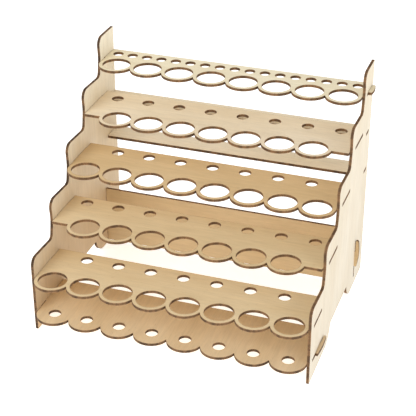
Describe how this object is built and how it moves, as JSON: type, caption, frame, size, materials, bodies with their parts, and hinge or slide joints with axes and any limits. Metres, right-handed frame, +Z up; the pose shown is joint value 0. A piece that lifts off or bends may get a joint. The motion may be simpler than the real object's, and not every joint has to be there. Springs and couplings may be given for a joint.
{
  "type": "paint rack organizer",
  "caption": "Stepped desktop rack of slotted plywood sheets, with rows of rings that hold small paint bottles and a top row of holes for brushes.",
  "frame": {"origin": "centre of the bounding box's bottom face, on the surface the rack stands on", "axes": "+X to the right seen from the front, +Y to the back, +Z up"},
  "size_m": [0.2724, 0.218, 0.2262],
  "materials": {
    "birch_plywood": "matte"
  },
  "bodies": {
    "root": {"side_panel_left": "birch_plywood", "side_panel_right": "birch_plywood", "base_shelf": "birch_plywood", "bottle_shelf_1": "birch_plywood", "bottle_shelf_2": "birch_plywood", "bottle_shelf_3": "birch_plywood", "bottle_shelf_4": "birch_plywood", "brush_shelf": "birch_plywood", "upper_back_brace": "birch_plywood", "middle_back_brace": "birch_plywood", "lower_back_brace": "birch_plywood"}
  },
  "joints": []
}
